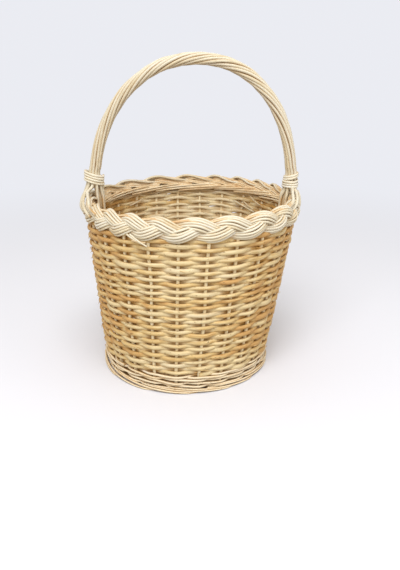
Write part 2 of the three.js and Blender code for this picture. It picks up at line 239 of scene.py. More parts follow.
def rod_material(name, pale, middle, deep, roughness=0.55, stain=1.0, grain=1.0):
    """A wood whose colours are mixed by slow noise and by each rod's own tone. Tones below
    zero are bleached."""
    material = bpy.data.materials.new(name)
    start = empty_tree(material)
    rod = start.node("ShaderNodeAttribute", {"attribute_name": "rod_place"}, output=1)
    tone = start.node("ShaderNodeAttribute", {"attribute_name": "rod_tone"}, output=2)
    hidden = start.node("ShaderNodeAttribute", {"attribute_name": "rod_hidden"}, output=2)

    def noise(stretch, scale, detail=3.0):
        """Noise on the rod's own coordinates, drawn out along the rod."""
        vector = start.node("ShaderNodeMapping", _0=rod, _3=(1, 1, 1 / stretch))
        return start.node("ShaderNodeTexNoise", Vector=vector, Scale=scale, Detail=detail)

    slow = noise(9.0, 0.12, 2.0)
    patch = noise(3.0, 0.25, 3.0)
    streak = noise(22.0, 0.8, 3.0)
    fleck = noise(3.0, 0.55, 2.0)
    shade = tone + (slow - 0.5) * 1.5 + (patch - 0.5) * 1.5 + (streak - 0.5) * (0.8 * grain)
    bleached = tuple(min(c * k, 1.0) for c, k in zip(pale, BLEACHING))
    base = shade.smooth(-0.9, -0.1).mix(bleached, pale)
    base = shade.smooth(0.0, 0.55).mix(base, middle)
    base = shade.smooth(0.5, 1.1).mix(base, deep)
    streaks = streak.smooth(0.52, 0.72) * (0.4 * grain)
    base = streaks.mix(base, tuple(c * k for c, k in zip(deep, STREAK_SHADE)))
    scars = fleck.smooth(0.63, 0.72) * (0.6 * stain)
    base = scars.mix(base, SCAR_BROWN)
    # Painted shade in creases and recesses, and the own colour of bark and splinters, mixed in by
    # the third attribute.
    base = hidden.smooth(0.0, 1.0).mix(base, PAINTED_SHADE_AND_STAIN_GOLD)
    gloss = (streak - 0.5) * 0.3 + roughness + scars * 0.2
    height = streak * 0.5 + patch * 0.6 - scars * 0.6
    bump = start.node("ShaderNodeBump", Strength=0.25 * grain, Distance=0.0004, Height=height)
    inputs = {"Base Color": base, "Roughness": gloss, "Normal": bump, "Specular IOR Level": SHEEN}
    shader = start.node("ShaderNodeBsdfPrincipled", **inputs)
    start.node("ShaderNodeOutputMaterial", Surface=shader)
    return material


wall_wood = rod_material("wall_rod", (0.79, 0.65, 0.38), (0.735, 0.54, 0.25), (0.63, 0.38, 0.145))
# The stakes' wood is paler than the wall's: partly their own colour, partly painted light for stakes
# that stand deeper in shade.
stake_wood = rod_material("stake_rod", (0.96, 0.86, 0.61), (0.92, 0.78, 0.50), (0.78, 0.57, 0.29))
wale_wood = rod_material("wale_rod", (0.92, 0.80, 0.58), (0.85, 0.67, 0.42), (0.68, 0.43, 0.22))
plait_wood = rod_material(
    "plait_rod", (0.82, 0.775, 0.635), (0.76, 0.67, 0.475), (0.68, 0.49, 0.27), 0.40, 0.2, 0.5
)
handle_wood = rod_material(
    "handle_rod", (0.74, 0.68, 0.54), (0.69, 0.60, 0.42), (0.57, 0.43, 0.26), 0.42, 0.3, 0.45
)
base_wood = rod_material("base_rod", (0.82, 0.65, 0.42), (0.71, 0.50, 0.27), (0.54, 0.32, 0.14))
# Dark wood that paints the shade in the gaps at the foot.
painted_shade_core_wood = rod_material("core_rod_painted_shade", (0.42, 0.26, 0.11), (0.34, 0.20, 0.08), (0.27, 0.15, 0.06))
print("materials:", [m.name for m in bpy.data.materials])

# %% [markdown]
# One function makes every rod. The path is a list of centres, and at each centre the
# section is an oval: `point(u, v) = centre(u) + out(u) * half_out(u) * cos(v) + up(u) *
# half_up(u) * sin(v)`. The direction `out` is given, and `up` is square to it and to the
# path. A little unevenness keeps it from looking like plastic. Shade is painted into the
# colour where a rod lies against another. `inner` paints it on the half of the section that
# turns away from `out` (or, when it is below zero, the half that turns towards it), and
# `flank` paints it on the two sides. A third share darkens the whole ring: painted shade on
# most rods, and the own colour of bark and of some splinters. Most rods follow the wall, so
# `basket_rod` takes angles, radii and heights, and its `out` points away from the basket's
# axis.

# %% Sweep a rod along a path
random = np.random.default_rng(11)


def unit(vectors):
    """Each vector scaled to length one."""
    return vectors / np.maximum(np.linalg.norm(vectors, axis=-1, keepdims=True), 1e-9)


def slow_wave(count, waves):
    """A smooth random curve of about one: a sum of a few sines with random phases."""
    t = np.linspace(0, TURN, count)
    ks = np.arange(1, waves + 1)
    phases = random.uniform(0, TURN, waves)
    sizes = random.normal(0, 1, waves) / np.sqrt(waves)
    return (np.sin(t[:, None] * ks + phases) * sizes).sum(axis=1)


def ring_wave(count, waves):
    """A slow wave for a closed ring, which ends where it starts."""
    return slow_wave(count + 1, waves)[:-1]


def sweep(
    centres, out, half_out, half_up, tone=0.5, hidden=0.0, inner=0.0, flank=0.0,
    sides=10, closed=False, rough=0.04
):
    """A rod as a grid of points with its own coordinates. The section is an oval whose
    radius varies by a share, rough, with sines that run along and round the rod."""
    n = len(centres)

    def column(values):
        """One value for the rod, or one for each ring, as a column."""
        return np.broadcast_to(values, (n,)).astype(float)[:, None]

    if closed:
        tangent = unit(np.roll(centres, -1, axis=0) - np.roll(centres, 1, axis=0))
    else:
        tangent = unit(np.gradient(centres, axis=0))
    up = unit(np.cross(tangent, out))
    out = unit(np.cross(up, tangent))
    v = np.arange(sides) * TURN / sides
    lengths = np.linalg.norm(np.diff(centres, axis=0), axis=1)
    along = np.concatenate([[0], np.cumsum(lengths)])
    a, b = random.uniform(0, TURN, 3)[:2]
    if closed:
        turns = TURN * along / (along[-1] + lengths[0])
        ridges = np.sin(turns[:, None] * 17 + v * 2 + a) + np.sin(turns[:, None] * 29 + v * 3 + b)
    else:
        ridges = np.sin(along[:, None] / 11 + v * 2 + a) + np.sin(along[:, None] / 6.3 - v * 3 + b)
    uneven = 1 + rough * 0.5 * ridges
    ring_out = np.cos(v) * column(half_out) * uneven
    ring_up = np.sin(v) * column(half_up) * uneven
    points = centres[:, None] + out[:, None] * ring_out[..., None] + up[:, None] * ring_up[..., None]
    seed = random.uniform(0, 4000)
    place_round = [np.cos(v) * 2.4 + seed, np.sin(v) * 2.4 + seed * 0.37, along[:, None]]
    own = np.stack(np.broadcast_arrays(*place_round), axis=-1)
    # Painted shade: a share for the whole ring, more on one half by `inner`, and on the two sides by
    # `flank`.
    shade = column(hidden) + np.clip(-column(inner) * np.cos(v), 0, 1) ** 0.8
    shade = shade + column(flank) * np.abs(np.sin(v)) ** 5
    grids = {"own": own, "tone": column(tone) + 0 * v, "hidden": np.clip(shade, 0, 1)}
    return {"points": points, "closed": closed, **grids}


def basket_rod(angle, radius, height, half, *shades, **settings):
    """A rod that runs where angle, radius and height say. `half` is half its thickness, or
    two such values, outwards and up."""
    half_out, half_up = half if isinstance(half, tuple) else (half, half)
    centres = place(angle, radius, height)
    return sweep(centres, outward_at(angle), half_out, half_up, *shades, **settings)


# %% [markdown]
# Many rods go into one mesh. Quads join each ring of the grid to the next, and an open rod
# gets a fan of triangles at each end, so every rod is closed. All its corners are listed
# clockwise as seen from outside the rod, so the faces' normals point inwards.


# %% Build a mesh from rods
def rod_faces(n, sides, closed):
    """Quads between the rings of a grid, counted from 0, and triangles on its open ends."""
    i = np.arange(n if closed else n - 1)[:, None]
    j = np.arange(sides)[None, :]
    near, far, next_j = i * sides, ((i + 1) % n) * sides, (j + 1) % sides
    quads = np.stack([near + j, far + j, far + next_j, near + next_j], axis=-1).reshape(-1, 4)
    if closed:
        return quads, np.zeros((0, 3), dtype=int)
    j = np.arange(sides)
    first, last = n * sides, n * sides + 1
    start = np.stack([np.full(sides, first), j, (j + 1) % sides], axis=-1)
    end_ring = (n - 1) * sides
    end = np.stack([np.full(sides, last), end_ring + (j + 1) % sides, end_ring + j], axis=-1)
    return quads, np.concatenate([start, end])


def rods_object(name, rods, material, slot, *nodes):
    """One object from a list of rods. It rides on the root and stands for some nodes."""
    parts = {"points": [], "own": [], "tone": [], "hidden": []}
    quads, tris, count = [], [], 0
    for rod in rods:
        n, sides = rod["points"].shape[:2]
        q, t = rod_faces(n, sides, rod["closed"])
        for key, part in parts.items():
            grid = rod[key].reshape(n, sides, -1)
            part.append(grid.reshape(n * sides, -1))
            if not rod["closed"]:
                part.append(grid[[0, -1]].mean(axis=1))
        quads.append(q + count)
        tris.append(t + count)
        count += n * sides + (0 if rod["closed"] else 2)
    joined = {key: np.concatenate(part) for key, part in parts.items()}
    quads, tris = np.concatenate(quads), np.concatenate(tris)

    mesh = bpy.data.meshes.new(name)
    mesh.vertices.add(count)
    mesh.vertices.foreach_set("co", (joined["points"] * MM).astype(np.float32).ravel())
    corners = np.concatenate([quads.ravel(), tris.ravel()]).astype(np.int32)
    mesh.loops.add(len(corners))
    mesh.loops.foreach_set("vertex_index", corners)
    starts = np.concatenate([np.arange(len(quads)) * 4, len(quads) * 4 + np.arange(len(tris)) * 3])
    mesh.polygons.add(len(starts))
    mesh.polygons.foreach_set("loop_start", starts.astype(np.int32))
    smooth = np.concatenate([np.ones(len(quads), bool), np.zeros(len(tris), bool)])
    mesh.polygons.foreach_set("use_smooth", smooth)
    mesh.update(calc_edges=True)
    for label, key in (("rod_place", "own"), ("rod_tone", "tone"), ("rod_hidden", "hidden")):
        kind, field = ("FLOAT_VECTOR", "vector") if key == "own" else ("FLOAT", "value")
        attribute = mesh.attributes.new(label, kind, "POINT")
        attribute.data.foreach_set(field, joined[key].astype(np.float32).ravel())
    mesh.materials.append(material)
    piece = bpy.data.objects.new(name, mesh)
    scene.collection.objects.link(piece)
    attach(piece, "root")
    if nodes:
        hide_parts(*nodes)
    print(f"{name}: {len(rods)} rods, {2 * len(quads) + len(tris)} triangles")


# %% [markdown]
# The wall is plain weaving. Two weavers climb together: one passes outside the even stakes,
# the other outside the odd ones, so each course does the opposite of the one below. Each
# weaver is a run of rods, thick at the butt and thin at the tip. They lie on one another, so
# their heights can't be evenly spaced: at each angle the thicknesses of all the courses are
# added up from the bottom, and the sum is fitted to the height of the wall. The last
# courses hide behind the border.

# %% The circle of stakes and the courses
STAKE_PHASE = np.radians(9.5)
STAKE_FOOT = 8.05
FOOT_STAKE_RADIUS = 121.2
WALL_SLOPE = 0.1245
WALL_BELLY = 0.7
BELLY_HEIGHT = 230.0
TUCK_START = 226.0
TUCK_HEIGHT = 20.0
TUCK_DEPTH = 3.6
PITCH = 5.37
TURNS = 20
WALL_BOTTOM = 26.0
WALL_TOP = WALL_BOTTOM + 2 * TURNS * PITCH
PASSED = int((TURNS - 0.5) * STAKES)
STEPS = 12
PIECES = 6
ROD_MEAN = 6.5
ROD_RANGE = (5.3, 7.8)
ROD_DEPTH = 2.35
SWING = 3.75


def stake_radius(height):
    """The radius of the circle of stakes: it opens with height and bellies a little, and at
    the top the stakes bend back in under the border."""
    tucked = np.clip((np.asarray(height) - TUCK_START) / TUCK_HEIGHT, 0, 1)
    belly = WALL_BELLY * np.sin(np.pi * np.clip((height - STAKE_FOOT) / BELLY_HEIGHT, 0, 1))
    return FOOT_STAKE_RADIUS + WALL_SLOPE * (height - STAKE_FOOT) + belly - TUCK_DEPTH * tucked**2


def piece_joins(weaver):
    """The stakes behind which one piece of a weaver ends and the next one starts."""
    even = [2 * round(PASSED * i / PIECES / 2) for i in range(PIECES + 1)]
    return [0] + [e + 1 - weaver for e in even[1:-1]] + [PASSED]


def cut_rods(weaver):
    """The rods of one weaver as (first stake, last stake, piece, thickness, tone)."""
    rods = []
    joins = piece_joins(weaver)
    for piece, (first, last) in enumerate(zip(joins, joins[1:])):
        third = (last - first) / 3
        middle = first + third * np.arange(1, 3) + random.uniform(-0.3, 0.3, 2) * third
        ends = [first, *(np.round(middle / 2).astype(int) * 2 + 1 - weaver), last]
        for a, b in zip(ends, ends[1:]):
            thickness = np.clip(random.normal(ROD_MEAN, 0.55), *ROD_RANGE)
            tone = random.choice([-0.4, random.uniform(-0.25, 0.7)], p=[0.15, 0.85])
            rods.append((a, b, piece, thickness, tone))
    return rods


def along_weaver(rods):
    """Thickness at every sample of a weaver: a rod thins from its butt to its tip."""
    thickness = np.zeros(PASSED * STEPS + 1)
    for first, last, _, size, _ in rods:
        span = slice(first * STEPS, last * STEPS + 1)
        count = (last - first) * STEPS + 1
        taper = np.linspace(1.12, 0.84, count)
        thickness[span] = size * taper + 0.3 * slow_wave(count, 24)
    return thickness


weavers = [cut_rods(0), cut_rods(1)]
thickness = [along_weaver(rods) for rods in weavers]
print("rods in the two weavers:", [len(rods) for rods in weavers])

# %% [markdown]
# `course_heights` fills a table with one row per course and one column per angle. The two
# weavers start on opposite sides, so over half a turn the first one holds the even rows and
# over the other half the odd rows. The table is read back along each weaver and smoothed.


# %% Heights of all the courses
def course_heights():
    """Height of each sample of both weavers, worked out from the stack of thicknesses."""
    columns = STAKES * STEPS
    half = columns // 2
    rows = 2 * TURNS - 1
    stack = np.zeros((rows, columns))
    where = []
    for weaver in range(2):
        position = np.arange(PASSED * STEPS + 1) + weaver * half
        col = position % columns
        row = 2 * (position // columns) + (col >= half) - weaver
        keep = row < rows
        stack[row[keep], col[keep]] = thickness[weaver][keep]
        where.append((np.minimum(row, rows - 1), col))
    share = (np.arange(columns) % half) / half
    bottom = WALL_BOTTOM + share * PITCH
    scale = rows * PITCH / stack.sum(axis=0)
    middles = bottom + (np.cumsum(stack, axis=0) - stack / 2) * scale
    window = np.hanning(2 * STEPS + 1)
    window /= window.sum()
    heights = []
    for row, col in where:
        padded = np.pad(middles[row, col], STEPS, mode="reflect", reflect_type="odd")
        heights.append(np.convolve(padded, window, mode="valid"))
    return heights


heights = course_heights()
print("courses:", 2 * TURNS - 1, "top", round(float(heights[0].max()), 1))

# %% [markdown]
# Along a weaver the rod swings outside one stake and inside the next, like a cosine. No two
# swings are alike: each crossing is shifted along a little, and each crest gets a small push
# and lift of its own. The passes that face the camera, outside at the front and inside at
# the back, are narrow, and the others are pressed broad. Seen from above, those would stand
# apart, so an inside pass lies a little lower at the front and higher at the back. The
# `shades` are the tones along a rod, with painted light and shade in them. At the two
# `flanks` of the basket they are deeper and golden, a painted shade where the wall turns
# away from the light. Where a rod passes inside they are pale, and at the back palest, a
# painted light on the inside of the wall. Painted shade also darkens inside passes at the
# flanks, the half of a rod that turns to the stakes, and its upper and lower sides, where it
# lies against the courses.


# %% Weave the wall
def at_stakes(u, first, last, spread):
    """Random values at the stakes, joined by straight lines and read at u."""
    stakes = np.arange(first - 2, last + 3)
    return np.interp(u, stakes, random.normal(0, spread, len(stakes)))


def weave(weaver):
    """Makes the pieces of one weaver."""
    grouped = [[] for _ in range(PIECES)]
    for first, last, piece, _, tone in weavers[weaver]:
        overlap = random.uniform(0.36, 0.6)
        samples = np.arange(first * STEPS, last * STEPS + 1)
        u = samples / STEPS
        u[0], u[-1] = first - overlap * (first > 0), last + overlap * (last < PASSED)
        shift = np.sin(np.pi * u) ** 2 * at_stakes(u, first, last, 0.13)
        swing = np.cos(np.pi * (u + weaver + shift))
        crest = np.abs(swing)
        side = np.sign(swing) * crest ** np.where(swing > 0, 1.1, 1.8)
        size = thickness[weaver][samples]
        push = at_stakes(u, first, last, 0.35)
        angle = STAKE_PHASE + (u + weaver * STAKES / 2) * STAKE_STEP
        flanks = np.sin(angle) ** 2
        back = np.clip(-np.cos(angle), 0, 1)
        inside = np.clip(-swing, 0, 1)
        height = heights[weaver][samples] + at_stakes(u, first, last, 0.45)
        height = height + (0.7 - 2.3 * np.cos(angle)) * inside
        near_top = np.clip((height - 228) / 8, 0, 1)
        tuck = np.exp(-((u - first) ** 2) * 2.5) + np.exp(-((u - last) ** 2) * 2.5)
        reach = (SWING + push) * (0.88 + 0.12 * np.cos(angle))
        offset = side * reach * (1 - 0.35 * near_top) - 1.6 * tuck
        radius = stake_radius(height) + offset
        swell = 1 + at_stakes(u, first, last, 0.05)
        broad = (0.06 + 0.36 * np.cos(angle)) * inside
        broad = broad + 0.33 * (1 - np.cos(angle)) * np.clip(side, 0, 1)
        narrow = 0.99 - 0.03 * np.cos(angle) + (0.02 - 0.08 * np.cos(angle)) * crest
        half_up = size / 2 * (narrow + broad) * swell
        half_out = ROD_DEPTH + 0.15 * (size - ROD_MEAN) + 0.1 * crest
        # Tones with painted shade at the flanks, and painted light where the rod passes inside and
        # at the back.
        shades = tone + 0.3 * slow_wave(len(u), 9) + 1.15 * flanks
        shades = shades - (1.0 - 1.8 * flanks**2) * inside - 0.6 * back
        rod = basket_rod(
            angle, radius, height, (half_out, half_up), shades, hidden=flanks * inside,
            inner=side * (0.65 - 0.25 * back), flank=0.35 + 0.42 * flanks, rough=0.06
        )
        grouped[piece].append(rod)
    letter = "ab"[weaver]
    for piece, rods in enumerate(grouped):
        node = f"weaver_{letter}_{piece + 1}"
        rods_object(f"wall_{letter}_{piece + 1}", rods, wall_wood, "wall_rod", node)


weave(0)
weave(1)

# %% [markdown]
# The stakes are the uprights that everything else is woven round. They show as short pale
# bits between the courses. Each is a rod of its own that bows very slightly.


# %% Stakes
STAKE_HALF = 2.35


def make_stakes():
    """Twenty-four upright rods, each standing for its node."""
    for k in range(STAKES):
        height = np.linspace(STAKE_FOOT, WALL_TOP + 3, 60)
        angle = STAKE_PHASE + k * STAKE_STEP + 0.005 * slow_wave(60, 3)
        radius = stake_radius(height) + 0.35 + 0.3 * slow_wave(60, 4)
        tone = random.uniform(-0.1, 0.4)
        half = STAKE_HALF * (1 + 0.05 * slow_wave(60, 5))
        # `flank` paints shade down the two sides of each stake.
        rod = basket_rod(angle, radius, height, half, tone, flank=0.35, sides=12)
        rods_object(f"upright_{k + 1:02d}", [rod], stake_wood, "stake_rod", f"stake_{k + 1:02d}")


make_stakes()

# %% [markdown]
# At the foot of the wall three thinner rods make a wale: each passes outside two stakes and
# inside the third, and the three lie one above another. Each rises by three rod widths a
# turn, so six courses come out of two turns. It comes out a little high and goes back in a
# little low, and it starts behind the foot border.

# %% Wale
WALE_RODS = 3
WALE_COURSES = 6
WALE_ROD = 3.4
WALE_FOOT = 5.5
WALE_PITCH = (WALL_BOTTOM - WALE_FOOT) / WALE_COURSES
WALE_SIDES = np.array([-1.0, 1.0, 1.0])
WALE_SLANT = np.array([0.0, 1.1, -1.1])


def eased(share):
    """0 below 0 and 1 above 1, with a smooth start and end: share^2 * (3 - 2 * share)."""
    share = np.clip(share, 0, 1)
    return share * share * (3 - 2 * share)


def between_stakes(u, values):
    """Values that repeat from stake to stake, joined by smooth steps and read at u."""
    low = np.floor(u).astype(int)
    share = eased(u - low)
    return values[low % len(values)] * (1 - share) + values[(low + 1) % len(values)] * share


def make_wale():
    """Three rods that climb the foot of the wall together."""
    passed = round(WALE_COURSES / WALE_RODS * STAKES) + 4
    for r in range(WALE_RODS):
        start = r * STAKES // WALE_RODS
        u = np.linspace(-7.6, passed + 0.4, (passed + 7) * STEPS)
        side = between_stakes(u + start + r, WALE_SIDES)
        height = WALE_FOOT + WALE_PITCH * (0.5 + WALE_RODS * u / STAKES)
        height = np.clip(height, WALE_FOOT, WALL_BOTTOM + 1.0)
        slant = between_stakes(u + start + r, WALE_SLANT)
        height = height + slant + at_stakes(u, -8, passed + 1, 0.6)
        angle = STAKE_PHASE + (u + start) * STAKE_STEP
        radius = stake_radius(height) + side * 4.0 + at_stakes(u, -8, passed + 1, 0.5)
        half = WALE_ROD / 2 * (1 + 0.07 * slow_wave(len(u), 12))
        tone = random.uniform(-0.1, 0.2) + 0.25 * slow_wave(len(u), 12)
        # Painted shade on the half that turns to the stakes, and on the upper and lower sides.
        rod = basket_rod(angle, radius, height, half, tone, inner=side * 0.9, flank=0.6, sides=9)
        rods_object(f"wale_{r + 1}", [rod], wale_wood, "wale_rod", f"wale_rod_{r + 1}")


make_wale()

# %% [markdown]
# The basket stands on a foot border of long thin rods. Each one starts between two stakes
# in the wale, slopes down over the ones before it and runs on along the floor until it is
# tucked back in, so at any place three of them lie one above another. At the two sides
# they start higher and stand off the wall in loops. Behind the border the lower ends of the
# stakes are bent round. They close the corner between the wall and the base, and their wood
# is painted dark, as the shade in the gaps of the foot.

# %% Foot border
FOOT_RODS = 14
FOOT_ROD = 2.7
FOOT_CORE_HEIGHTS = (4.4, 8.4, 12.4, 16.4, 20.4)


def make_foot():
    """Long thin rods that overlap round the foot."""
    rods = []
    share = np.linspace(0, 1, 70)
    outermost = foot_radius - 1.2 - FOOT_STAKE_RADIUS
    for k in range(FOOT_RODS):
        reach = 4.6 + random.uniform(-0.5, 0.5)
        start = (k + random.uniform(-0.15, 0.15)) * STAKES / FOOT_RODS
        angle = STAKE_PHASE + (start + reach * share) * STAKE_STEP
        loop = np.abs(np.sin(angle[8])) ** 8
        rise, fall = eased(share / 0.16), eased((share - 0.9) / 0.1)
        half = FOOT_ROD / 2 * random.uniform(0.85, 1.15)
        slope = (1 - share) ** (1.15 + loop)
        offset = -5.0 + (outermost + 5.0 - half) * rise - 3.4 * fall - 2.6 * slope * (1 - loop)
        height = half * 1.06 + (9.8 + 8.5 * loop - half) * slope
        radius = FOOT_STAKE_RADIUS + offset
        tone = random.uniform(-0.15, 0.35) + 0.15 * slow_wave(len(share), 5)
        # Painted shade where a rod tucks back in, and on its upper and lower sides.
        rods.append(basket_rod(angle, radius, height, half, tone, 0.4 * fall, flank=0.8, sides=9))
    rods_object("foot_ring", rods, wale_wood, "base_rod", "foot_border")


def make_foot_core():
    """The bent lower ends of the stakes, which close the corner between wall and base."""
    rods = []
    angle = np.arange(180) * TURN / 180
    for height in FOOT_CORE_HEIGHTS:
        radius = FOOT_STAKE_RADIUS - 4.2 + 0.12 * height + 0.3 * ring_wave(180, 15)
        rods.append(basket_rod(angle, radius, height, (1.9, 2.3), flank=0.6, sides=8, closed=True))
    rods_object("foot_core", rods, painted_shade_core_wood, "base_rod")


make_foot()
make_foot_core()

# %% [markdown]
# The base is woven flat: three sticks are threaded through three others, their ends spread
# like spokes, and thin rods go over and under them in circles. The rod of each circle
# swings up over one stick and down under the next: `height = middle + swing * cos(6 *
# angle)`, with the sign changing from one circle to the next.

# %% Base
BASE_STICKS = 12
BASE_MIDDLE = 14.05
BASE_RADIUS = 116.4
BASE_ROD = 3.15


def make_base_weave():
    """Circles of thin rod over and under the twelve stick ends."""
    rods = []
    radii = np.arange(14.5, BASE_RADIUS - 1.0, BASE_ROD)
    for i, radius in enumerate(radii):
        count = int(np.clip(radius * 2.2, 72, 240))
        angle = np.arange(count) * TURN / count
        sign = 1 if i % 2 else -1
        swing = sign * np.cos(BASE_STICKS / 2 * angle)
        height = BASE_MIDDLE + 3.5 * np.sign(swing) * np.abs(swing) ** 0.8
        centres = place(angle, radius + 0.25 * ring_wave(count, 12), height)
        tone = random.uniform(0, 0.6) + 0.2 * ring_wave(count, 4)
        up = np.broadcast_to(np.array([0.0, 0.0, 1.0]), centres.shape)
        # Painted shade on the half that faces the stick a rod crosses, and on the sides that face
        # the next circles.
        rods.append(
            sweep(centres, up, 1.5, BASE_ROD / 2 * 1.03, tone, inner=swing * 0.4, flank=0.6,
                  sides=8, closed=True)
        )
    rods_object("base_rounds", rods, base_wood, "base_rod", "base_weave")


make_base_weave()

# %% [markdown]
# The sticks of the base come straight from the frame and only get a better material. They
# have no rod coordinates of their own, so their grain is a noise in object space.


# %% Sticks of the base
def stick_material():
    """Pale wood with a fine grain in object space."""
    material = bpy.data.materials.new("base_stick")
    start = empty_tree(material)
    coordinates = start.node("ShaderNodeTexCoord", output=3)
    broad = start.node("ShaderNodeTexNoise", Vector=coordinates, Scale=60.0, Detail=3.0)
    fine = start.node("ShaderNodeTexNoise", Vector=coordinates, Scale=900.0, Detail=2.0)
    shade = broad * 0.7 + fine * 0.3
    colour = shade.smooth(0.35, 0.7).mix((0.80, 0.64, 0.41), (0.62, 0.43, 0.23))
    bump = start.node("ShaderNodeBump", Strength=0.3, Distance=0.0003, Height=fine)
    gloss = fine * 0.3 + 0.45
    inputs = {"Base Color": colour, "Roughness": gloss, "Normal": bump}
    shader = start.node("ShaderNodeBsdfPrincipled", **inputs)
    start.node("ShaderNodeOutputMaterial", Surface=shader)
    return material


stick_wood = stick_material()
for kind in ("pierced", "threaded"):
    for i in range(1, 4):
        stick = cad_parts[f"base_stick_{kind}_{i}"]
        stick.data.materials.clear()
        stick.data.materials.append(stick_wood)
print("the six base sticks wear", stick_wood.name)

# %% [markdown]
# The rim is a plait of three strands, each of five thin rods side by side. In a flat plait
# a strand swings from edge to edge as `sin(wave)` and dips in and out twice as often, as
# `sin(2 * wave)`, and the three strands are a third of a wave apart. The flat plait is then
# bent over the rim: its height across becomes an angle on a circle of radius `bend`, so it
# faces outwards below and upwards at the top.

# %% Plait
PLAIT_WAVES = 7
PLAIT_RODS = 5
PLAIT_ROD = 3.3
PLAIT_SPACING = 3.32
PLAIT_SWING = 9.8
PLAIT_DEPTH = 4.3
PLAIT_BEND = 27.0
PLAIT_TILT = np.radians(14.0)
PLAIT_MIDDLE_RADIUS = rim_radius - PLAIT_BEND - PLAIT_DEPTH - PLAIT_ROD / 2 + 0.9
PLAIT_MIDDLE_HEIGHT = rim_middle - 5.6
PLAIT_PHASE = 1.79


def over_rim(across, out):
    """From the flat plait to the rim: across is bent to an angle, out adds to the radius."""
    bent = PLAIT_TILT + across / PLAIT_BEND
    reach = PLAIT_BEND + out
    radius = PLAIT_MIDDLE_RADIUS + reach * np.cos(bent)
    return radius, PLAIT_MIDDLE_HEIGHT + reach * np.sin(bent)


def on_plait(height, out):
    """The radius at which the bent plait's surface, moved outwards, has a height."""
    reach = PLAIT_BEND + out
    rise = height - PLAIT_MIDDLE_HEIGHT
    return PLAIT_MIDDLE_RADIUS + np.sqrt(np.maximum(reach**2 - rise**2, 0))


def plait_wave(angle, strand):
    """How far a strand is in its swing at an angle. A hand-made plait is pulled tighter in
    some places than in others, so two slow waves are added."""
    pulled = 0.62 * np.cos(angle - 2.48) + 0.56 * np.cos(2 * angle + 0.42)
    return PLAIT_WAVES * angle + PLAIT_PHASE + pulled + strand * TURN / 3


def make_plait():
    """Three strands of parallel rods."""
    count = PLAIT_WAVES * 50
    angle = np.arange(count) * TURN / count
    step = rim_radius * TURN / count
    for s in range(3):
        wave = plait_wave(angle, s)
        mid_across = PLAIT_SWING * np.sin(wave) + 0.6 * ring_wave(count, 20)
        mid_out = -PLAIT_DEPTH * np.sin(2 * wave)
        # Painted shade where a strand dips under the others, stronger at the front; `flank` paints
        # shade between the rods of a strand.
        hidden = (0.3 + 0.15 * np.cos(angle)) * np.clip(np.sin(2 * wave), 0, 1)
        steep = np.arctan2((np.roll(mid_across, -1) - np.roll(mid_across, 1)) / 2, step)
        rods = []
        for i in range(PLAIT_RODS):
            side = (i - (PLAIT_RODS - 1) / 2) * PLAIT_SPACING
            side = side + 0.25 * ring_wave(count, 24)
            across = mid_across + side * np.cos(steep)
            shift = -side * np.sin(steep) / rim_radius
            radius, height = over_rim(across, mid_out - 0.05 * side**2)
            centres = place(angle + shift, radius, height)
            half = PLAIT_ROD / 2 * (1.07 + 0.06 * ring_wave(count, 9))
            tone = random.uniform(-0.3, 0.35) + 0.15 * ring_wave(count, 12)
            tone = tone + 0.2 * (1 - np.cos(angle))
            rod = sweep(
                centres, outward_at(angle), half, half, tone, hidden, flank=0.65, sides=12,
                closed=True
            )
            rods.append(rod)
        node = f"plait_strand_{s + 1}"
        rods_object(f"rim_plait_{s + 1}", rods, plait_wood, "border_rod", node)


make_plait()

# %% [markdown]
# On the inside the strands of the plait run on a little: at each of the twenty-one places
# where one comes over the rim, its five rods lie side by side and slope down inwards. Two of
# them are left there as tails, which run the other way along the inside of the wall and are
# tucked in behind its top courses. `at_wave` finds the angle of each place. The stakes are
# bent over under the plait, which `make_rim_core` shows as three rings.

# %% The inside of the rim
HUMPS = 3 * PLAIT_WAVES
RIM_CORE = ((148.0, 237.0), (148.0, 242.0), (149.5, 247.0))


def at_wave():
    """The angles at which a strand of the plait has come over to the inside."""
    angle = np.linspace(-0.5, TURN + 0.5, 4000)
    return np.interp(np.pi / 2 + TURN / 3 * np.arange(1, HUMPS + 1), plait_wave(angle, 0), angle)


def make_inner_rods():
    """Five rods at each hump that slope inwards, and two that run on as tails."""
    rods = []
    share = np.linspace(0, 1, 40)
    step = TURN / HUMPS
    for hump in at_wave():
        # Painted shade: a little along each of the five rods, and on the sides where rods lie
        # together.
        for i in range(PLAIT_RODS):
            angle = hump + step * (0.35 - 1.5 * share) + 0.012 * i
            start = np.exp(-((share / 0.13) ** 2))
            radius = 149.5 - 4.0 * share - 1.5 * i * (1 - 0.3 * share) + 3.0 * start
            height = 264.0 - 10.5 * share**0.9 - 2.0 * i - 5.0 * start + 0.3 * slow_wave(40, 3)
            tone = random.uniform(0.1, 0.7)
            rods.append(basket_rod(angle, radius, height, (1.6, 1.5), tone, 0.1, flank=0.7, sides=8))
        for i in range(2):
            angle = hump - step * 0.6 + np.radians(35 + random.uniform(-4, 6)) * share
            height = 250.5 - 2.8 * i - (7.5 + random.uniform(-2, 2)) * share**0.9
            radius = 142.0 - 2.5 * np.sin(np.pi * share) ** 0.7 + i
            half = 1.6 * random.uniform(0.85, 1.1)
            tone = random.uniform(0.0, 0.6)
            rods.append(basket_rod(angle, radius, height, half, tone, flank=0.6, sides=8))
    rods_object("rim_inner_rods", rods, wale_wood, "border_rod")


def make_rim_core():
    """The bent ends of the stakes, which fill the hollow under the plait."""
    rods = []
    angle = np.arange(240) * TURN / 240
    for radius, level in RIM_CORE:
        height = level + 0.4 * ring_wave(240, 15)
        # Painted shade under the plait: a share all along, and more where the rings lie on each
        # other.
        rod = basket_rod(
            angle, radius, height, (2.6, 3.0), 0.6, 0.4, flank=0.6, sides=8, closed=True
        )
        rods.append(rod)
    rods_object("rim_core", rods, handle_wood, "border_rod")


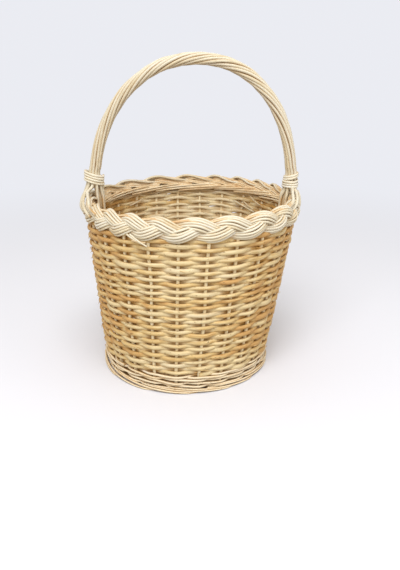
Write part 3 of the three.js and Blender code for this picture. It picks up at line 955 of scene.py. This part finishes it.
make_inner_rods()
make_rim_core()

# %% [markdown]
# A few ends stand off the wall where a rod was cut: three under the plait at the front
# left, and four inside, most of them at the back right. A strip of bark is left at the
# front right. They are few and each lies its own way, so their places are given one by one,
# and `short_rod` draws each from one point to another.


# %% Cut ends and a strip of bark
def short_rod(first, last, half, tone, hidden=0.0, bow=1.0):
    """A slightly bowed rod between two points given as angle in degrees, radius, height."""
    share = np.linspace(0, 1, 12)
    angle, radius, height = np.outer(1 - share, first).T + np.outer(share, last).T
    angle = np.radians(angle)
    radius = radius + bow * np.sin(np.pi * share)
    taper = half * (1 - 0.25 * share)
    # `flank` paints a little shade on the two sides of each end.
    return basket_rod(angle, radius, height, taper, tone, hidden, flank=0.3, sides=8)


def make_cut_ends():
    """Cut ends under the plait and inside the wall, and a strip of bark left on a rod."""
    outside = [
        short_rod((-31.5, 156.0, 239.0), (-22.5, 158.3, 230.0), 1.5, 0.5),
        short_rod((-29.5, 157.0, 240.0), (-20.0, 158.0, 227.0), 1.4, 0.3),
        short_rod((-28.0, 158.0, 233.0), (-21.0, 157.0, 231.5), 1.4, 0.6),
    ]
    rods_object("cut_ends_outside", outside, plait_wood, "border_rod")
    inside = [
        short_rod((150.0, 141.0, 225.0), (131.0, 136.0, 213.0), 1.4, 0.6, bow=-2.0),
        short_rod((142.0, 141.0, 225.5), (132.5, 137.5, 217.0), 1.3, 0.8, bow=-2.0),
        short_rod((137.0, 141.0, 236.0), (126.0, 137.0, 226.0), 1.3, 0.9, bow=-2.0),
        short_rod((216.0, 141.0, 230.0), (228.0, 138.0, 223.0), 1.3, 0.9, bow=-2.0),
    ]
    rods_object("cut_ends_inside", inside, handle_wood, "border_rod")
    bark = []
    for _ in range(9):
        angle, height = random.uniform(29.5, 36.5), random.uniform(216.5, 221.5)
        last = (angle + random.uniform(0.8, 2.6), 157.4, height + random.uniform(-1.2, 0.8))
        bark.append(short_rod((angle, 157.0, height), last, 0.5, 1.0, 0.9, 0.2))
    rods_object("bark", bark, wall_wood, "wall_rod")


make_cut_ends()

# %% [markdown]
# The handle is a stout bow with thinner rods twisted round it like the strands of a rope.
# The arch is nearly an ellipse. A rod turns `HANDLE_TURNS` times round the core from one
# foot to the other, slowly near the feet and faster over the top. Each point carries its
# direction away from the core along with it, so that painted shade can be laid between
# neighbouring rods.

# %% Handle
ARCH_SPRING = 270.0
ARCH_RISE = arch_high[2] - 4.0 - ARCH_SPRING
ARCH_SPAN = 143.8
ARCH_SHIFT = -0.6
ARCH_SQUARE = 0.945
HANDLE_TURNS = 1.8
HANDLE_RODS = 10
HANDLE_ROD = 4.0
CORE_RADIUS = 4.8
WOUND_RADIUS = 6.5
LASH_LOW = {-1: 277.0, 1: 270.5}
LASH_HIGH = {-1: 293.0, 1: 292.5}


def upright(angle, radius, height):
    """A point round the basket before it is moved and leaned, as a list."""
    return [radius * np.sin(angle), -radius * np.cos(angle), height]


def leaned(points, shift=0.0):
    """Upright points moved to their place: shifted to the foot's middle and leaned."""
    moved = np.array(points, dtype=float)
    moved[..., 0] += shift + foot_x + lean * moved[..., 2]
    return moved


def arch(angle):
    """The middle line of the arch and its outward direction, for angles from 0 to pi. With
    p = ARCH_SQUARE, x = -span * cos(angle)**p and z = rise * sin(angle)**p, which is an
    ellipse with slightly square shoulders."""
    flat = np.zeros_like(angle)
    sine, cosine = np.sin(angle), np.abs(np.cos(angle))
    way = -np.sign(np.cos(angle))
    x = ARCH_SHIFT + way * ARCH_SPAN * cosine**ARCH_SQUARE
    middle = np.stack([x, flat, ARCH_SPRING + ARCH_RISE * sine**ARCH_SQUARE], axis=-1)
    across = way * cosine ** (2 - ARCH_SQUARE) * ARCH_RISE
    out = np.stack([across, flat, sine ** (2 - ARCH_SQUARE) * ARCH_SPAN], axis=-1)
    return middle, unit(out)


def smooth_path(points, count):
    """A smooth line through a few points: a Catmull-Rom spline, sampled evenly. Columns
    after the third are carried along with the point."""
    points = np.asarray(points, dtype=float)
    p = np.concatenate([[2 * points[0] - points[1]], points, [2 * points[-1] - points[-2]]])
    s = np.linspace(0, len(points) - 1 - 1e-6, count * 4)
    i = s.astype(int)
    t = (s - i)[:, None]
    a, b, c, d = p[i], p[i + 1], p[i + 2], p[i + 3]
    cubic = (-a + 3 * b - 3 * c + d) * t**3 + (2 * a - 5 * b + 4 * c - d) * t**2
    line = 0.5 * (cubic + (c - a) * t + 2 * b)
    steps = np.linalg.norm(np.diff(line[:, :3], axis=0), axis=1)
    along = np.concatenate([[0], np.cumsum(steps)])
    even = np.linspace(0, along[-1], count)
    return np.stack([np.interp(even, along, column) for column in line.T], axis=-1)


print(f"arch: {ARCH_RISE:.1f} mm high above its feet, {2 * ARCH_SPAN:.1f} mm wide")

# %% [markdown]
# Below the lashing the rods part. Those on the outer side lie over the border: the nearest
# goes straight down, the next ones sweep forwards or backwards and slip under a strand of
# the plait. `SWEEPS` and `HEIGHTS` give each one's angle away from the handle and its
# height at four places, from the tip up, and `STAND_OFF` its distance from the plait there.
# On the right it is `PRESSED` closer. The others go straight down inside the wall, where
# they are painted with shade.


# %% The feet of the handle
SWEEPS = ((4, 4, 3, 1), (43, 35, 24, 8), (51, 42, 30, 14))
HEIGHTS = ((234, 245, 256, 266), (246, 253, 259, 266), (252, 258, 265, 269.5))
STAND_OFF = (-2.2, 1.5, 2.0, 4.0)
PRESSED = (5.0, 3.0, 1.0, 0.5)
SWELLING = (0, 0.6, 1, 0.8)


def outer_foot(side, row, forward, bulge):
    """A rod that lies over the border and sweeps forwards (1) or backwards (-1)."""
    points = []
    share = 0.68 if side < 0 else 0.5
    for i, (turned, height) in enumerate(zip(SWEEPS[row], HEIGHTS[row])):
        angle = side * (np.pi / 2 - forward * np.radians(turned * share))
        height = height + ((1.0 if side < 0 else 5.0) if forward > 0 else -9.0) * (row > 0)
        out = PLAIT_DEPTH + PLAIT_ROD / 2 + STAND_OFF[i]
        out = out - (side > 0) * PRESSED[i]
        swell = bulge * SWELLING[i] * (1.0, 0.6, 0.2)[row]
        points.append(upright(angle, on_plait(height, out) + swell, height))
    return [point + list(outward_at(side * np.pi / 2)) for point in points]


def inner_foot(side, out, aside):
    """A rod that goes down inside the rim, beside the core."""
    middle = abs(aside) < 3.2
    x = 131.0 if middle else 137.5
    y = -aside * (1.1 if middle else 1.55)
    tip = 186.0 + random.uniform(0, 26)
    heights = (tip, 225.0, 250.0, 262.0)
    inside = (stake_radius(tip) - 139.5, -0.6, 0.0, 1.0)
    return [[side * (x + i), y, z, side * out, -aside, 0.0] for z, i in zip(heights, inside)]


def foot_points(side, out, aside, bulge):
    """The way of one rod from its tip up through the lashing."""
    if out > -1.5:
        row = int(np.clip(abs(aside) / 3.0, 0, 2))
        points = outer_foot(side, row, np.sign(aside), bulge * (1 if aside > 0 else 0.5))
    else:
        points = inner_foot(side, out, aside)
    splay = {LASH_LOW[side]: (1.6 if side < 0 else 1.3), LASH_HIGH[side]: 1.0}
    for z, wider in splay.items():
        x = ARCH_SHIFT + side * (ARCH_SPAN + out * wider)
        points.append([x, -aside * wider, z, side * out, -aside, 0.0])
    return points


# %% [markdown]
# The core runs from inside one wall over the arch and down inside the other. Each thinner
# rod's way has three parts, its left foot, its turns round the arch and its right foot, and
# one smooth line is laid through them all. Ten rods are wound, and the six nodes of the
# frame share them out.

# %% Wind the handle
HANDLE_NODES = 6
BINDING_TOP = 285.0
RIM_INSIDE = 142.0
RIM_TOP = 268.0


def make_handle():
    """The core and the rods that wind round it."""
    angle = np.linspace(0, np.pi, 120)
    middle, _ = arch(angle)
    foot = [[128.5, 0, 186], [136.0, 0, 230], [137.0, 0, 250], [139.0, 0, 266]]
    left = [[-x, y, z] for x, y, z in foot]
    path = smooth_path(left + list(middle[5:-5:6]) + foot[::-1], 260)
    sideways = np.broadcast_to(np.array([0.0, -1.0, 0.0]), path.shape)
    # Painted shade on the core, which lies under the wound rods and inside the wall.
    core = sweep(leaned(path), sideways, CORE_RADIUS, CORE_RADIUS, 0.5, 0.45, sides=14)
    rods_object("handle_bow", [core], handle_wood, "handle_rod", "handle_core")

    share = np.linspace(0.055, 0.945, 60)
    middle, out = arch(np.pi * share)
    groups = [[] for _ in range(HANDLE_NODES)]
    for r in range(HANDLE_RODS):
        size = HANDLE_ROD * random.uniform(0.9, 1.1)
        start = TURN * (r + 0.3) / HANDLE_RODS + random.normal(0, 0.04)
        wind = start - TURN * HANDLE_TURNS * eased(share) + 0.06 * slow_wave(len(share), 4)
        radius = WOUND_RADIUS + 0.3 * slow_wave(len(share), 4)
        away = out * np.cos(wind)[:, None]
        away[:, 1] -= np.sin(wind)
        wound = np.concatenate([middle + away * radius[:, None], away], axis=1)
        end = start - TURN * HANDLE_TURNS
        left = foot_points(-1, WOUND_RADIUS * np.cos(start), WOUND_RADIUS * np.sin(start), 2.9)
        right = foot_points(1, WOUND_RADIUS * np.cos(end), WOUND_RADIUS * np.sin(end), 0.2)
        path = smooth_path(left + list(wound) + right[::-1], 380)
        half = size / 2 * (1 + 0.04 * slow_wave(len(path), 12))
        tone = random.uniform(-0.2, 0.4) + 0.12 * slow_wave(len(path), 8)
        away = unit(path[:, 3:])
        # Painted shade: on the half turned to the core and the sides between wound rods above the
        # binding, and on the rods inside the wall.
        bound = np.clip((path[:, 2] - BINDING_TOP) / 15.0, 0, 1)
        inside = np.clip((RIM_INSIDE - np.abs(path[:, 0])) / 4.0, 0, 1)
        inside = inside * np.clip((RIM_TOP - path[:, 2]) / 12.0, 0, 1)
        rod = sweep(
            leaned(path[:, :3]), away, half, half, tone, 0.3 * inside, 0.9 * bound,
            0.6 * bound + 0.6 * inside, sides=12
        )
        groups[r % HANDLE_NODES].append(rod)
    for i, rods in enumerate(groups):
        rods_object(f"handle_twist_{i + 1}", rods, handle_wood, "handle_rod", f"handle_rod_{i + 1}")


make_handle()

# %% [markdown]
# Each foot of the handle is bound with a thin rod. A helix is a circle whose height grows
# with the angle. The left one is wound aslant over the spread rods, and the right one in
# two groups, level below and slanting above, with its cut end below it.

# %% Lashings
LASH_ROD = 3.7


def make_lashing(name, side, wraps, size, node):
    """A thin rod wound round the handle's foot."""
    angle = np.linspace(0.4, 0.4 + TURN * wraps, 40 * wraps)
    turns = angle / TURN
    upper = np.clip((turns - wraps + 2.2) / 0.5, 0, 1)
    tilt = 0.36 if side < 0 else 0.08 - 0.26 * upper
    gap = 0.0 if side < 0 else 2.0 * upper
    narrow = 0.0 if side < 0 else 1.2 * upper
    level = LASH_LOW[side] + 1.9 + LASH_ROD * (1.0 if side < 0 else 0.93) * turns + gap
    loose = 1 + 0.03 * slow_wave(len(angle), 16)
    x = ARCH_SHIFT + side * ARCH_SPAN + (size[0] - narrow) * loose * np.cos(angle)
    height = level - tilt * size[0] * np.cos(angle)
    centres = leaned(np.stack([x, size[1] * loose * np.sin(angle), height], axis=-1))
    out = np.stack([np.cos(angle), np.sin(angle), np.zeros_like(angle)], axis=-1)
    half = LASH_ROD / 2 * (1 + 0.06 * slow_wave(len(angle), 14))
    tone = random.uniform(-0.2, 0.1) + 0.15 * slow_wave(len(angle), 8)
    # `flank` paints shade on the sides where the wraps lie against each other.
    rods = [sweep(centres, out, half * 0.9, half, tone, flank=0.7, sides=12)]
    if side > 0:
        low = np.array([ARCH_SHIFT + ARCH_SPAN + 2.0, -size[1], LASH_LOW[side] + 3.0])
        end = leaned(smooth_path([low, low + (5, -1.5, -4), low + (10, 0, -9)], 12))
        sideways = np.broadcast_to(np.array([0.0, -1.0, 0.0]), end.shape)
        rods.append(sweep(end, sideways, 1.6, 1.6, 0.7, 0.3, sides=9))
    rods_object(name, rods, plait_wood, "border_rod", node)


make_lashing("binding_left", -1, 4, (13.4, 11.6), "lashing_left")
make_lashing("binding_right", 1, 5, (10.6, 10.4), "lashing_right")

# %% [markdown]
# Peeled rods split a little where they bend. Short thin splinters stand off the wall here
# and there, and catch the light.

# %% Splinters
SPLINTERS = 110


def make_splinters():
    """Short thin rods that taper to nothing and lie close along the wall."""
    rods = []
    for _ in range(SPLINTERS):
        angle = random.uniform(0, TURN) + np.radians(random.uniform(2, 7)) * np.linspace(0, 1, 7)
        height = random.uniform(20, 226) + random.uniform(-3, 3) * np.linspace(0, 1, 7) ** 2
        lift = np.linspace(0.2, random.uniform(1.2, 3.0), 7)
        radius = stake_radius(height) + SWING + ROD_DEPTH - 0.8 + lift
        half = random.uniform(0.35, 0.65) * np.linspace(1, 0.3, 7)
        tone, hidden = random.uniform(-0.3, 1.0), random.choice([0.0, 0.0, 0.5])
        rods.append(basket_rod(angle, radius, height, (half, half * 1.4), tone, hidden, sides=5))
    rods_object("wall_splinters", rods, wall_wood, "wall_rod")


make_splinters()

# %% [markdown]
# The floor comes last, because it isn't part of the basket. It gives back only a little
# light, so the undersides of the rods stay in shade. A ray from the camera, from a shiny
# surface or through a clear one sees it pale, and far out it takes the colour of the sky,
# which hides the horizon.


# %% Floor and sky
BACKDROP = (0.83, 0.84, 0.89)


def seen_directly(start):
    """1 for rays from the camera, off a shiny surface or through a clear one."""
    paths = start.node("ShaderNodeLightPath").socket.node
    names = ("Is Camera Ray", "Is Glossy Ray", "Is Transmission Ray")
    direct, glossy, through = (Value(start.tree, paths.outputs[name]) for name in names)
    return (direct + glossy + through).math("MINIMUM", 1.0)


def make_floor():
    """A large plain sheet just under the basket."""
    size = 12.0
    corners = [(-size, -size, 0), (size, -size, 0), (size, size, 0), (-size, size, 0)]
    mesh = bpy.data.meshes.new("floor")
    mesh.from_pydata(corners, [], [(0, 1, 2, 3)])
    floor = bpy.data.objects.new("floor", mesh)
    scene.collection.objects.link(floor)
    material = bpy.data.materials.new("floor")
    start = empty_tree(material)
    where = start.node("ShaderNodeTexCoord", output=3)
    distance = start.node("ShaderNodeVectorMath", {"operation": "LENGTH"}, output=1, _0=where)
    colour = seen_directly(start).mix((0.42, 0.36, 0.29), (0.80, 0.81, 0.87))
    near = start.node("ShaderNodeBsdfDiffuse", Color=colour, Roughness=0.0)
    far = start.node("ShaderNodeEmission", Color=BACKDROP, Strength=1.0)
    haze = distance.smooth(0.35, 1.5) * seen_directly(start)
    both = start.node("ShaderNodeMixShader", _0=haze, _1=near, _2=far)
    start.node("ShaderNodeOutputMaterial", Surface=both)
    mesh.materials.append(material)


make_floor()

world = bpy.data.worlds.new("sky")
scene.world = world
sky = empty_tree(world)
light = sky.node("ShaderNodeBackground", Color=(1.0, 0.965, 0.91), Strength=0.70)
wall = sky.node("ShaderNodeBackground", Color=BACKDROP, Strength=1.0)
both = sky.node("ShaderNodeMixShader", _0=seen_directly(sky), _1=light, _2=wall)
sky.node("ShaderNodeOutputWorld", Surface=both)
print("sky and floor made")
